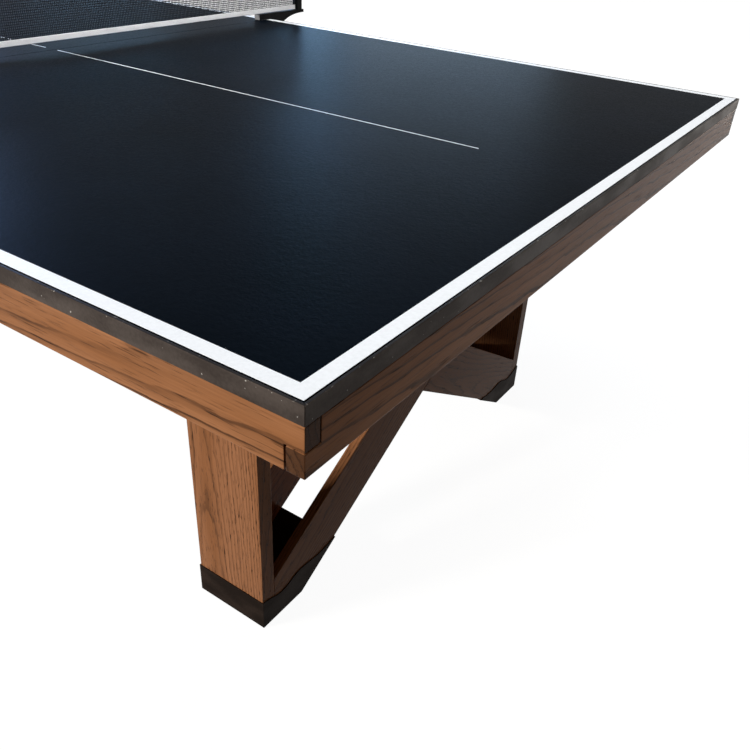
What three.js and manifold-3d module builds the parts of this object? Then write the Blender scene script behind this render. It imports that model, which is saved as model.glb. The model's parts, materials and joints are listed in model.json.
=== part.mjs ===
/**
 * Full-size table tennis table on a wooden under-carriage, with a clamp-on net.
 *
 * Millimetres, +Z up. The origin is on the floor under the middle of the table, X runs along the table and
 * Y across it. The two leg frames are alike: four half-lapped brace boards cross between two posts, under a
 * cap board, and sheet metal shoes wrap the feet.
 */
import * as THREE from 'three';
import { mergeVertices } from 'three/addons/utils/BufferGeometryUtils.js';
import Module from 'manifold-3d';

const wasm = await Module();
wasm.setup();

// Clearances shared by the whole table
const fit = {
  gap: 0.3, // between two pieces that are cut to fit each other
  overrun: 6, // how far a cutter runs past what it cuts
};

// Playing surface: two panels that meet under the net
const play = {
  length: 2740,
  width: 1525,
  height: 760,
  thickness: 23,
  seam: 2.5,
};

// Dark metal edge band, mitred at the corners
const band = {
  width: 6, // from the panel's edge to the outer face
  lip: 4, // what stands beside the groove
  grooveDepth: 4,
  shadowLine: 0.9, // between the band and the apron
  chamfer: 0.7,
};

// Apron boards with a two-finger joint at each corner
const apron = {
  height: 58,
  thickness: 22,
  setback: 0.6, // behind the outer face of the band
  fingerGap: 1.2, // the dark line round each finger
  buttGap: 2, // the open joint that shows at the lower finger
};
const cornerBlock = { leg: 72, nose: 14, margin: 6 };

// Hidden under-frame between the aprons
const underFrame = {
  seamRailWidth: 70,
  bearerWidth: 22,
  bearerInset: 5, // from the edge of the leg frame's cap
  stringerWidth: 22,
  stringerSpacing: 520,
};

// Leg frame
const leg = {
  inset: 303, // from the end of the playing surface
  depth: 150,
  width: 1006, // over the posts
  postThickness: 30,
  capHeight: 29,
};
const brace = {
  width: 117,
  thickness: 18,
  crossingDrop: 13, // how far below half height the centre lines cross
  heel: 24, // from the sole up to where the centre line meets the post
};
const shoe = {
  sheet: 1.5,
  rimHeight: 62,
  dips: [13, 5], // the two scallops of the rim, from the outer corner to the tip
  stepsPerDip: 12,
};

// Net, its tapes and its posts
const net = {
  offset: -9.5, // the net stands just beside the seam
  height: 152.5,
  lift: 17, // from the playing surface to the lower tape
  topTape: 15,
  bottomTape: 13,
  tapeThickness: 2,
  cordBulge: 2.1, // radius of the top tape's rolled edge
  hemBulge: 1.2, // radius of the bottom tape's fold
  meshThickness: 1.2,
  strand: 1.6,
  columns: 52,
  rows: 4,
};
const post = { size: 22, wall: 1.6, corner: 2.5, outset: 132.2, height: 138.5 };
const postPlug = { overhang: 0.8, head: 5, stem: 9, bevel: 1.2, slotWidth: 3.5, slotDepth: 2.5 };

// Net clamp: a frame that reaches round the table's edge, a swivel pad and a thumbscrew
const clamp = {
  width: 19,
  felt: 1.5,
  feltMargin: 1.5,
  armHeight: 14.5,
  reach: 56, // inwards from the edge band
  overhang: 152.3, // outwards from the edge band
  tipHeight: 8.2,
  spineGap: 2.5,
  spineWidth: 26,
  gussetDrop: 62, // from the arm's underside to the end of the gusset curve
  jawHeight: 18,
  jawReach: 24, // inwards from the spine's inner face
  corner: 5, // inside the mouth
  outerCorner: 10,
  spigotHeight: 12,
};
const pad = {
  radius: 10,
  height: 5,
  rimBevel: 0.8,
  underBevel: 1.6,
  socketRadius: 3.2,
  socketDepth: 2.8,
  clearance: 1.7, // over the jaw when the screw is run right down
};
const screw = {
  radius: 4,
  travel: 12,
  tipRadius: 2.8,
  tail: 24, // bare thread between the jaw and the knob
  knobRadius: 16,
  knobWave: 2,
  knobLobes: 5,
  knobHeight: 12,
  hubRadius: 8,
  hubHeight: 6,
};
const facets = { round: 24, knob: 50, curve: 12, corner: 3 };

// Levels and faces that several pieces share
const level = {};
level.panelUnder = play.height - play.thickness;
level.apronUnder = level.panelUnder - apron.height;
level.fingers = level.apronUnder + apron.height / 2;
level.capTop = level.apronUnder - fit.gap;
level.capUnder = level.capTop - leg.capHeight;
level.legTop = level.capUnder - fit.gap;
level.legFoot = shoe.sheet + fit.gap;
level.armUnder = play.height + clamp.felt;
level.armTop = level.armUnder + clamp.armHeight;
level.padTop = level.apronUnder - fit.gap;
level.padUnder = level.padTop - pad.height;
level.jawTop = level.padUnder - screw.travel - pad.clearance;
level.jawUnder = level.jawTop - clamp.jawHeight;
level.netBottom = play.height + net.lift;
level.netTop = play.height + net.height;

const half = {
  panelX: play.length / 2,
  panelY: play.width / 2,
  outerX: play.length / 2 + band.width,
  outerY: play.width / 2 + band.width,
};
half.apronOuterX = half.outerX - apron.setback;
half.apronOuterY = half.outerY - apron.setback;
half.apronInnerX = half.apronOuterX - apron.thickness;
half.apronInnerY = half.apronOuterY - apron.thickness;

// The brace's centre line: it starts at its heel on the post and crosses its twin a little below half height
const centreLine = { height: (level.legFoot + level.legTop) / 2 - brace.crossingDrop };
centreLine.reach = leg.width / 2 - leg.postThickness - fit.gap;
centreLine.slope = (centreLine.height - level.legFoot - brace.heel) / centreLine.reach;
centreLine.angle = Math.atan(centreLine.slope);

const finish = {
  surface: { color: 0x1b2735, roughness: 0.42, metalness: 0 },
  metal: { color: 0x2f2a27, roughness: 0.5, metalness: 0.75 },
  wood: { color: 0x8a5632, roughness: 0.55, metalness: 0 },
  hiddenWood: { color: 0x9c7350, roughness: 0.75, metalness: 0 },
  bronze: { color: 0x33271f, roughness: 0.45, metalness: 0.75 },
  blackMetal: { color: 0x141414, roughness: 0.4, metalness: 0.6 },
  rubber: { color: 0x1c1c1c, roughness: 0.9, metalness: 0 },
  felt: { color: 0x242424, roughness: 1, metalness: 0 },
  netMesh: { color: 0x2a2c2e, roughness: 0.9, metalness: 0 },
  tape: { color: 0xe9edf1, roughness: 0.85, metalness: 0 },
};

/** A named mesh with its own material. */
function piece(name, geometry, look) {
  const mesh = new THREE.Mesh(geometry, new THREE.MeshStandardMaterial(look));
  mesh.name = name;
  return mesh;
}

/** A block between two corners. */
function block(x, y, z) {
  const geometry = new THREE.BoxGeometry(x[1] - x[0], y[1] - y[0], z[1] - z[0]);
  geometry.translate((x[0] + x[1]) / 2, (y[0] + y[1]) / 2, (z[0] + z[1]) / 2);
  return geometry;
}

/** A shape through the given points. */
function outline(points) {
  return new THREE.Shape(points.map(([u, v]) => new THREE.Vector2(u, v)));
}

/** A YZ outline carried along X from one place to another. */
function alongX(shape, from, to) {
  const geometry = new THREE.ExtrudeGeometry(shape, {
    depth: to - from,
    bevelEnabled: false,
    curveSegments: facets.curve,
  });
  const turn = new THREE.Matrix4().makeBasis(
    new THREE.Vector3(0, 1, 0),
    new THREE.Vector3(0, 0, 1),
    new THREE.Vector3(1, 0, 0),
  );
  geometry.applyMatrix4(turn);
  geometry.translate(from, 0, 0);
  return geometry;
}

/** An XZ outline carried along Y from one place to another. */
function alongY(shape, from, to) {
  const geometry = new THREE.ExtrudeGeometry(shape, {
    depth: to - from,
    bevelEnabled: false,
    curveSegments: facets.curve,
  });
  geometry.rotateX(Math.PI / 2);
  geometry.translate(0, to, 0);
  return geometry;
}

/** An XY outline carried up Z from one level to another. */
function alongZ(shape, from, to) {
  const geometry = new THREE.ExtrudeGeometry(shape, {
    depth: to - from,
    bevelEnabled: false,
    curveSegments: facets.corner,
  });
  geometry.translate(0, 0, from);
  return geometry;
}

/** A profile of [radius, height] points turned about Z. */
function turned(profile) {
  const geometry = new THREE.LatheGeometry(profile.map(([r, z]) => new THREE.Vector2(r, z)), facets.round);
  geometry.rotateX(Math.PI / 2);
  return geometry;
}

/** A closed geometry as a solid that can be cut and joined. */
function toSolid(geometry) {
  const bare = geometry.clone();
  bare.deleteAttribute('normal');
  bare.deleteAttribute('uv');
  const merged = mergeVertices(bare);
  return new wasm.Manifold(new wasm.Mesh({
    numProp: 3,
    vertProperties: new Float32Array(merged.attributes.position.array),
    triVerts: new Uint32Array(merged.index.array),
  }));
}

/** A solid back as a geometry. */
function toGeometry(solid) {
  const mesh = solid.getMesh();
  const geometry = new THREE.BufferGeometry();
  geometry.setAttribute('position', new THREE.BufferAttribute(new Float32Array(mesh.vertProperties), 3));
  geometry.setIndex(new THREE.BufferAttribute(new Uint32Array(mesh.triVerts), 1));
  return geometry;
}

/** The first geometry with all the others cut away. */
function cut(geometry, ...cutters) {
  let solid = toSolid(geometry);
  for (const cutter of cutters) solid = solid.subtract(toSolid(cutter));
  return toGeometry(solid);
}

/** All the geometries as one. */
function join(geometry, ...others) {
  let solid = toSolid(geometry);
  for (const other of others) solid = solid.add(toSolid(other));
  return toGeometry(solid);
}

/** One playing panel, on the side of the seam that sign gives. */
function playingPanel(name, sign) {
  const reach = [play.seam / 2, half.panelX];
  const x = sign > 0 ? reach : [-reach[1], -reach[0]];
  const slab = block(x, [-half.panelY, half.panelY], [level.panelUnder, play.height]);
  return piece(name, slab, finish.surface);
}

/**
 * An edge band along X with its outer face towards -Y. Its section has a groove beside the panel, and each
 * end is sheared outwards by the distance from the panel, which makes the mitre.
 */
function edgeBand(name, halfLength, halfWidth, turn) {
  const top = play.height;
  const bottom = level.panelUnder + band.shadowLine;
  const section = outline([
    [fit.gap, bottom],
    [band.width, bottom],
    [band.width, top - band.chamfer],
    [band.width - band.chamfer, top],
    [band.width - band.lip, top],
    [band.width - band.lip, top - band.grooveDepth],
    [fit.gap, top - band.grooveDepth],
  ]);
  const geometry = new THREE.ExtrudeGeometry(section, { depth: 1, bevelEnabled: false });
  const place = geometry.attributes.position;
  for (let i = 0; i < place.count; i += 1) {
    const outwards = place.getX(i);
    const end = halfLength + outwards - fit.gap;
    place.setXYZ(i, place.getZ(i) > 0 ? -end : end, -halfWidth - outwards, place.getY(i));
  }
  const mesh = piece(name, geometry, finish.metal);
  mesh.rotation.z = turn;
  return mesh;
}

/** A side apron: its upper finger runs through the corner, its lower one stops short of the end apron. */
function sideApron(name, sign) {
  const lower = half.apronInnerX - apron.buttGap;
  const step = level.fingers + apron.fingerGap / 2;
  const shape = outline([
    [-lower, level.apronUnder],
    [lower, level.apronUnder],
    [lower, step],
    [half.apronOuterX, step],
    [half.apronOuterX, level.panelUnder],
    [-half.apronOuterX, level.panelUnder],
    [-half.apronOuterX, step],
    [-lower, step],
  ]);
  const y = [half.apronInnerY, half.apronOuterY];
  const board = sign > 0 ? alongY(shape, y[0], y[1]) : alongY(shape, -y[1], -y[0]);
  return piece(name, board, finish.wood);
}

/** An end apron: its lower finger runs through the corner, its upper part fits between the side aprons. */
function endApron(name, sign) {
  const upper = half.apronInnerY - apron.fingerGap;
  const step = level.fingers - apron.fingerGap / 2;
  const shape = outline([
    [-half.apronOuterY, level.apronUnder],
    [half.apronOuterY, level.apronUnder],
    [half.apronOuterY, step],
    [upper, step],
    [upper, level.panelUnder],
    [-upper, level.panelUnder],
    [-upper, step],
    [-half.apronOuterY, step],
  ]);
  const x = [half.apronInnerX, half.apronOuterX];
  const board = sign > 0 ? alongX(shape, x[0], x[1]) : alongX(shape, -x[1], -x[0]);
  return piece(name, board, finish.wood);
}

/** A glued block in the inner corner of two aprons, with its sharp ends cut off. */
function innerCorner(name, signX, signY) {
  const { leg: long, nose, margin } = cornerBlock;
  const shape = outline([
    [0, 0],
    [long, 0],
    [long, nose],
    [nose, long],
    [0, long],
  ]);
  const geometry = alongZ(shape, level.apronUnder + margin, level.panelUnder - fit.gap);
  const mesh = piece(name, geometry, finish.hiddenWood);
  const inset = apron.thickness + fit.gap;
  mesh.position.set(signX * (half.apronOuterX - inset), signY * (half.apronOuterY - inset), 0);
  mesh.rotation.z = Math.atan2(-signY, -signX) - Math.PI / 4;
  return mesh;
}

/** Bearers on a leg frame and stringers to the seam rail, for the half that sign gives. */
function halfUnderFrame(side, sign) {
  const group = new THREE.Group();
  const legOuter = half.panelX - leg.inset;
  const legInner = legOuter - leg.depth;
  const { bearerWidth, bearerInset, stringerWidth, stringerSpacing } = underFrame;
  const z = [level.apronUnder, level.panelUnder];
  const across = half.apronInnerY - fit.gap;
  const bearers = {
    outer: [legOuter - bearerInset - bearerWidth, legOuter - bearerInset],
    inner: [legInner + bearerInset, legInner + bearerInset + bearerWidth],
  };
  for (const [place, x] of Object.entries(bearers)) {
    const span = sign > 0 ? x : [-x[1], -x[0]];
    group.add(piece(`bearer_${side}_${place}`, block(span, [-across, across], z), finish.hiddenWood));
  }
  const run = [underFrame.seamRailWidth / 2 + fit.gap, bearers.inner[0] - fit.gap];
  const span = sign > 0 ? run : [-run[1], -run[0]];
  for (const [place, signY] of [['left', -1], ['right', 1]]) {
    const centre = (signY * stringerSpacing) / 2;
    const y = [centre - stringerWidth / 2, centre + stringerWidth / 2];
    group.add(piece(`stringer_${side}_${place}`, block(span, y, z), finish.hiddenWood));
  }
  return group;
}

/** The rail under the seam of the two panels. */
function seamRail() {
  const x = underFrame.seamRailWidth / 2;
  const y = half.apronInnerY - fit.gap;
  return piece('seam_rail', block([-x, x], [-y, y], [level.apronUnder, level.panelUnder]), finish.hiddenWood);
}

/** Height of one edge of the brace at a distance from the crossing: side 1 is its upper edge, -1 its lower. */
function braceEdge(side, distance, clearance = 0) {
  const rise = (brace.width / 2 + clearance) / Math.cos(centreLine.angle);
  return centreLine.height + side * rise + centreLine.slope * distance;
}

/** Where across the table one edge of the brace reaches a level. */
function braceReach(side, height, clearance = 0) {
  return (height - braceEdge(side, 0, clearance)) / centreLine.slope;
}

/**
 * Outline of the brace that climbs towards +Y when sign is 1 and towards -Y when it is -1: a sloping band,
 * cut square by the inner faces of the posts, by the shoe's sole and by the cap.
 */
function braceOutline(sign) {
  const inner = centreLine.reach;
  const points = [
    [-inner, level.legFoot],
    [braceReach(-1, level.legFoot), level.legFoot],
    [inner, braceEdge(-1, inner)],
    [inner, level.legTop],
    [braceReach(1, level.legTop), level.legTop],
    [-inner, braceEdge(1, -inner)],
  ];
  return outline(points.map(([y, z]) => [sign * y, z]));
}

/** A bar along the whole slope, a clearance wider than the brace: it cuts the half lap in the other brace. */
function lapCutter(sign, from, to) {
  const far = leg.width / 2;
  const points = [
    [-far, braceEdge(-1, -far, fit.gap)],
    [far, braceEdge(-1, far, fit.gap)],
    [far, braceEdge(1, far, fit.gap)],
    [-far, braceEdge(1, -far, fit.gap)],
  ];
  return alongX(outline(points.map(([y, z]) => [sign * y, z])), from, to);
}

/**
 * The two crossed boards of one face. The board that climbs towards +Y keeps its outer half where they
 * cross, and the other board keeps its inner half.
 */
function crossedBraces(side, face, facing, outerX) {
  const innerX = outerX - facing * brace.thickness;
  const middle = (outerX + innerX) / 2;
  const span = (a, b) => [Math.min(a, b), Math.max(a, b)];
  const whole = span(outerX, innerX);
  const innerHalf = span(middle + (facing * fit.gap) / 2, innerX - facing * fit.overrun);
  const outerHalf = span(middle - (facing * fit.gap) / 2, outerX + facing * fit.overrun);
  const through = cut(alongX(braceOutline(1), ...whole), lapCutter(-1, ...innerHalf));
  const crossed = cut(alongX(braceOutline(-1), ...whole), lapCutter(1, ...outerHalf));
  return [
    piece(`brace_${side}_${face}_through`, through, finish.wood),
    piece(`brace_${side}_${face}_crossed`, crossed, finish.wood),
  ];
}

/** Outer outline of a shoe at the -Y foot: flat sole, slope under the braces, and a rim of two scallops. */
function shoeOutline(outerY) {
  const clearance = fit.gap + shoe.sheet;
  const tip = braceReach(-1, shoe.rimHeight, clearance);
  const points = [
    [-outerY, 0],
    [braceReach(-1, 0, clearance), 0],
    [tip, shoe.rimHeight],
  ];
  const total = shoe.dips.length * shoe.stepsPerDip;
  for (let i = total - 1; i >= 0; i -= 1) {
    const share = i / total;
    const dip = shoe.dips[Math.floor(share * shoe.dips.length)];
    const wave = Math.sin(share * shoe.dips.length * Math.PI) ** 2;
    points.push([-outerY + share * (outerY + tip), shoe.rimHeight - dip * wave]);
  }
  return outline(points);
}

/** A sheet metal shoe: the outline as a solid, hollowed from above by what stands in it. */
function legShoe(name, sign, x) {
  const woodY = leg.width / 2;
  const outerY = woodY + fit.gap + shoe.sheet;
  const inside = outerY - shoe.sheet;
  const top = shoe.rimHeight + fit.overrun;
  const hollow = outline([
    [-inside, shoe.sheet],
    [braceReach(-1, shoe.sheet, fit.gap), shoe.sheet],
    [braceReach(-1, top, fit.gap), top],
    [-inside, top],
  ]);
  const clearance = fit.gap + shoe.sheet;
  const body = alongX(shoeOutline(outerY), x[0] - clearance, x[1] + clearance);
  const mesh = piece(name, cut(body, alongX(hollow, x[0] - fit.gap, x[1] + fit.gap)), finish.bronze);
  if (sign > 0) {
    const middle = (x[0] + x[1]) / 2;
    mesh.geometry.translate(-middle, 0, 0);
    mesh.position.x = middle;
    mesh.rotation.z = Math.PI;
  }
  return mesh;
}

/**
 * One leg frame, drawn for the +X end: posts, crossed braces on both faces, cap and shoes. The names are those
 * of its foot at -Y and its foot at +Y.
 */
function legFrame(side, names) {
  const group = new THREE.Group();
  const outerX = half.panelX - leg.inset;
  const x = [outerX - leg.depth, outerX];
  const y = leg.width / 2;
  for (const [place, sign] of [[names[0], -1], [names[1], 1]]) {
    const faces = [sign * y, sign * (y - leg.postThickness)].sort((a, b) => a - b);
    group.add(piece(`post_${side}_${place}`, block(x, faces, [level.legFoot, level.legTop]), finish.wood));
    group.add(legShoe(`shoe_${side}_${place}`, sign, x));
  }
  group.add(...crossedBraces(side, 'outer', 1, x[1]));
  group.add(...crossedBraces(side, 'inner', -1, x[0]));
  group.add(piece(`cap_${side}`, block(x, [-y, y], [level.capUnder, level.capTop]), finish.wood));
  return group;
}

/** Places of the strands' edges along one direction: strand, gap, strand, gap and a last strand. */
function strandEdges(from, to, gaps) {
  const pitch = (to - from - net.strand) / gaps;
  const edges = [];
  for (let i = 0; i <= gaps; i += 1) edges.push(from + i * pitch, from + i * pitch + net.strand);
  return edges;
}

/**
 * The net's mesh as a lattice of flat cells. A cell between two strands both ways is a gap; every other cell
 * has a front and a back, and a wall wherever its neighbour is a gap or the outside.
 */
function netMesh(halfSpan) {
  const ys = strandEdges(-halfSpan, halfSpan, net.columns);
  const zs = strandEdges(
    level.netBottom + net.bottomTape + fit.gap,
    level.netTop - net.topTape - fit.gap,
    net.rows,
  );
  const front = net.meshThickness / 2;
  const points = [];
  for (const x of [-front, front]) {
    for (const y of ys) {
      for (const z of zs) points.push(x, y, z);
    }
  }
  const at = (layer, i, j) => (layer * ys.length + i) * zs.length + j;
  const corners = [];
  const quad = (a, b, c, d) => corners.push(a, b, c, a, c, d);
  const inRange = (i, j) => i >= 0 && j >= 0 && i < ys.length - 1 && j < zs.length - 1;
  const solid = (i, j) => inRange(i, j) && !(i % 2 === 1 && j % 2 === 1);
  for (let i = 0; i < ys.length - 1; i += 1) {
    for (let j = 0; j < zs.length - 1; j += 1) {
      if (!solid(i, j)) continue;
      quad(at(1, i, j), at(1, i + 1, j), at(1, i + 1, j + 1), at(1, i, j + 1));
      quad(at(0, i, j), at(0, i, j + 1), at(0, i + 1, j + 1), at(0, i + 1, j));
      if (!solid(i - 1, j)) quad(at(0, i, j), at(1, i, j), at(1, i, j + 1), at(0, i, j + 1));
      if (!solid(i + 1, j)) quad(at(1, i + 1, j), at(0, i + 1, j), at(0, i + 1, j + 1), at(1, i + 1, j + 1));
      if (!solid(i, j - 1)) quad(at(0, i, j), at(0, i + 1, j), at(1, i + 1, j), at(1, i, j));
      if (!solid(i, j + 1)) quad(at(1, i, j + 1), at(1, i + 1, j + 1), at(0, i + 1, j + 1), at(0, i, j + 1));
    }
  }
  const geometry = new THREE.BufferGeometry();
  geometry.setAttribute('position', new THREE.Float32BufferAttribute(points, 3));
  geometry.setIndex(corners);
  return piece('net_mesh', geometry, finish.netMesh);
}

/** A tape folded over the net's edge: flat, with one long edge rolled to the given radius. */
function netTape(name, halfSpan, from, to, roll) {
  const half = net.tapeThickness / 2;
  const rolled = Math.abs(roll);
  const up = Math.sign(roll);
  const centre = (up > 0 ? to : from) - roll;
  const flat = up > 0 ? from : to;
  const shape = new THREE.Shape();
  const meet = Math.asin(half / rolled);
  shape.moveTo(-half, flat);
  shape.lineTo(half, flat);
  const start = up > 0 ? -Math.PI / 2 + meet : Math.PI / 2 - meet;
  const end = up > 0 ? (3 * Math.PI) / 2 - meet : Math.PI / 2 + meet;
  shape.absarc(0, centre, rolled, start, end, up < 0);
  return piece(name, alongY(shape, -halfSpan, halfSpan), finish.tape);
}

/** A square with rounded corners. */
function roundedSquare(size, radius) {
  const h = size / 2;
  const shape = new THREE.Shape();
  const corners = [[1, -1, -Math.PI / 2], [1, 1, 0], [-1, 1, Math.PI / 2], [-1, -1, Math.PI]];
  for (const [sx, sy, start] of corners) {
    shape.absarc(sx * (h - radius), sy * (h - radius), radius, start, start + Math.PI / 2, false);
  }
  return shape;
}

/** The net post: a square tube that drops over the clamp's spigot. */
function netPost(name) {
  const section = roundedSquare(post.size, post.corner);
  section.holes.push(roundedSquare(post.size - 2 * post.wall, post.corner - post.wall));
  const foot = level.armTop + fit.gap;
  return piece(name, alongZ(section, foot, foot + post.height), finish.blackMetal);
}

/** The plug that closes the post, with a slot across its head for the net's cord. */
function postCap(name) {
  const seat = level.armTop + fit.gap + post.height + fit.gap;
  const bore = post.size - 2 * post.wall - 2 * fit.gap;
  const section = roundedSquare(bore, post.corner - post.wall);
  const size = post.size + 2 * postPlug.overhang - 2 * postPlug.bevel;
  const head = new THREE.ExtrudeGeometry(roundedSquare(size, post.corner), {
    depth: postPlug.head - 2 * postPlug.bevel,
    bevelEnabled: true,
    bevelThickness: postPlug.bevel,
    bevelSize: postPlug.bevel,
    bevelSegments: 2,
    curveSegments: facets.corner,
  });
  head.translate(0, 0, seat + postPlug.bevel);
  const top = seat + postPlug.head;
  const slot = block(
    [-postPlug.slotWidth / 2, postPlug.slotWidth / 2],
    [-post.size, post.size],
    [top - postPlug.slotDepth, top + fit.overrun],
  );
  const stem = alongZ(section, seat - postPlug.stem, seat + postPlug.bevel);
  return piece(name, cut(join(head, stem), slot), finish.rubber);
}

/**
 * The clamp frame in the plane of the net, drawn for the +Y side with the table's edge band at Y = 0: an arm
 * over the table, a gusset whose underside curves down into the spine, and a jaw under the apron.
 */
function clampOutline() {
  const inner = clamp.spineGap;
  const outer = clamp.spineGap + clamp.spineWidth;
  const jawEnd = inner - clamp.jawReach;
  const curveEnd = level.armUnder - clamp.gussetDrop;
  const tipUnder = level.armTop - clamp.tipHeight;
  const r = clamp.corner;
  const heel = clamp.outerCorner;
  const shape = new THREE.Shape();
  shape.moveTo(-clamp.reach, level.armUnder);
  shape.lineTo(inner - r, level.armUnder);
  shape.absarc(inner - r, level.armUnder - r, r, Math.PI / 2, 0, true);
  shape.lineTo(inner, level.jawTop + r);
  shape.absarc(inner - r, level.jawTop + r, r, 0, -Math.PI / 2, true);
  shape.lineTo(jawEnd, level.jawTop);
  shape.lineTo(jawEnd, level.jawUnder);
  shape.lineTo(outer - heel, level.jawUnder);
  shape.absarc(outer - heel, level.jawUnder + heel, heel, -Math.PI / 2, 0, false);
  shape.lineTo(outer, curveEnd);
  shape.quadraticCurveTo(outer, tipUnder, clamp.overhang, tipUnder);
  shape.lineTo(clamp.overhang, level.armTop);
  shape.lineTo(-clamp.reach, level.armTop);
  return shape;
}

/** The clamp frame with the spigot for the post and the hole for the screw. */
function clampFrame(name) {
  const wide = clamp.width / 2;
  const body = alongX(clampOutline(), -wide, wide);
  const spigot = alongZ(
    roundedSquare(post.size - 2 * post.wall - 2 * fit.gap, post.corner - post.wall),
    level.armTop - fit.overrun,
    level.armTop + clamp.spigotHeight,
  );
  spigot.translate(0, post.outset, 0);
  const hole = turned([
    [0, level.jawUnder - fit.overrun],
    [screw.radius + fit.gap, level.jawUnder - fit.overrun],
    [screw.radius + fit.gap, level.jawTop + fit.overrun],
    [0, level.jawTop + fit.overrun],
  ]);
  hole.translate(0, -apron.thickness / 2, 0);
  return piece(name, cut(join(body, spigot), hole), finish.blackMetal);
}

/** The swivel pad: a disc with a turned rim and a socket below for the screw's tip. */
function clampPad(name) {
  const { radius, rimBevel, underBevel, socketRadius, socketDepth } = pad;
  const profile = [
    [0, level.padUnder + socketDepth],
    [socketRadius, level.padUnder + socketDepth],
    [socketRadius, level.padUnder],
    [radius - underBevel, level.padUnder],
    [radius, level.padUnder + underBevel],
    [radius, level.padTop - rimBevel],
    [radius - rimBevel, level.padTop],
    [0, level.padTop],
  ];
  return piece(name, turned(profile), finish.blackMetal);
}

/** The thumbscrew: a stepped spindle with a hub, joined to a knob whose rim is a wave of lobes. */
function thumbScrew(name) {
  const shoulder = level.padUnder - fit.gap;
  const tip = level.padUnder + pad.socketDepth - fit.gap;
  const knobTop = level.jawUnder - screw.tail;
  const hubTop = knobTop + screw.hubHeight;
  const knobUnder = knobTop - screw.knobHeight;
  const spindle = turned([
    [0, knobUnder],
    [screw.hubRadius, knobUnder],
    [screw.hubRadius, knobTop],
    [screw.radius, hubTop],
    [screw.radius, shoulder],
    [screw.tipRadius, shoulder],
    [screw.tipRadius, tip],
    [0, tip],
  ]);
  const rim = [];
  for (let i = 0; i < facets.knob; i += 1) {
    const angle = (2 * Math.PI * i) / facets.knob;
    const radius = screw.knobRadius - screw.knobWave * (1 - Math.cos(screw.knobLobes * angle)) / 2;
    rim.push([radius * Math.cos(angle), radius * Math.sin(angle)]);
  }
  const knob = alongZ(outline(rim), knobUnder + fit.gap, knobTop - fit.gap);
  return piece(name, join(spindle, knob), finish.blackMetal);
}

/** Everything at one end of the net, drawn for the +Y side. */
function netEnd(side) {
  const group = new THREE.Group();
  const edge = half.outerY;
  const frame = clampFrame(`clamp_frame_${side}`);
  frame.position.y = edge;
  const wide = clamp.width / 2;
  const feltY = [edge - clamp.reach + clamp.feltMargin, half.panelY - clamp.feltMargin];
  const feltBlock = block([-wide, wide], feltY, [play.height, level.armUnder]);
  const felt = piece(`clamp_felt_${side}`, feltBlock, finish.felt);
  const tube = netPost(`net_post_${side}`);
  const plug = postCap(`post_cap_${side}`);
  const swivel = clampPad(`clamp_pad_${side}`);
  const spindle = thumbScrew(`clamp_screw_${side}`);
  for (const standing of [tube, plug]) standing.position.y = edge + post.outset;
  for (const below of [swivel, spindle]) below.position.y = edge - apron.thickness / 2;
  group.add(frame, felt, tube, plug, swivel, spindle);
  return group;
}

/** The net with its tapes, posts and clamps. */
function netSet() {
  const group = new THREE.Group();
  const halfSpan = half.outerY + post.outset - post.size / 2 - fit.gap;
  const bottomTapeTop = level.netBottom + net.bottomTape;
  const topTapeBottom = level.netTop - net.topTape;
  group.add(netMesh(halfSpan));
  group.add(netTape('net_tape_top', halfSpan, topTapeBottom, level.netTop, net.cordBulge));
  group.add(netTape('net_tape_bottom', halfSpan, level.netBottom, bottomTapeTop, -net.hemBulge));
  const right = netEnd('right');
  const left = netEnd('left');
  left.rotation.z = Math.PI;
  group.add(right, left);
  group.position.x = net.offset;
  return group;
}

/** The whole table. */
function table() {
  const group = new THREE.Group();
  group.add(playingPanel('panel_plus', 1), playingPanel('panel_minus', -1));
  group.add(edgeBand('band_side_left', half.panelX, half.panelY, 0));
  group.add(edgeBand('band_side_right', half.panelX, half.panelY, Math.PI));
  group.add(edgeBand('band_end_plus', half.panelY, half.panelX, Math.PI / 2));
  group.add(edgeBand('band_end_minus', half.panelY, half.panelX, -Math.PI / 2));
  group.add(sideApron('apron_side_left', -1), sideApron('apron_side_right', 1));
  group.add(endApron('apron_end_plus', 1), endApron('apron_end_minus', -1));
  for (const [endName, signX] of [['plus', 1], ['minus', -1]]) {
    for (const [sideName, signY] of [['left', -1], ['right', 1]]) {
      group.add(innerCorner(`corner_block_${endName}_${sideName}`, signX, signY));
    }
    group.add(halfUnderFrame(endName, signX));
  }
  group.add(seamRail());
  const farLegs = legFrame('minus', ['right', 'left']);
  farLegs.rotation.z = Math.PI;
  group.add(legFrame('plus', ['left', 'right']), farLegs, netSet());
  return group;
}

export default table();
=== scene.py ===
"""
Dresses a full-size table tennis table: coated top, steel edge bands, oak under-carriage and clamp-on net.

Metres, +Z up. The origin is on the floor under the middle of the table, X runs along the table and Y across
it. The end at +X is the near one, and left is the side at -Y.
"""

import json
import math

import bmesh
import bpy
import numpy as np
from bpy.props import FloatProperty, FloatVectorProperty, IntProperty, PointerProperty
from mathutils import Matrix, Vector


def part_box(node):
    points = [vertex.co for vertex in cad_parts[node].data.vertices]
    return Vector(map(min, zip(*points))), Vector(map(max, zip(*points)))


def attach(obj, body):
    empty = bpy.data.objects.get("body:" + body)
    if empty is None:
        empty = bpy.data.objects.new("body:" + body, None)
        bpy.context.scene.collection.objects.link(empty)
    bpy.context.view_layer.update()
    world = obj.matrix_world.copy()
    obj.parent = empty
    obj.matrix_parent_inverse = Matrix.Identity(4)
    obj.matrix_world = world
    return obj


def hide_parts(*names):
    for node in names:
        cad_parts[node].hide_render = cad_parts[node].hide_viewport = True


bl_info = {
    "name": "Table tennis table",
    "version": (1, 0, 0),
    "blender": (4, 5, 0),
    "location": "3D View > Sidebar > Table",
    "description": "Dresses a table tennis table with its net and clamps, and sets a studio around it",
    "category": "Object",
}

MM = 0.001
# Points nearer than this are one point
WELD = 0.002 * MM
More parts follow.
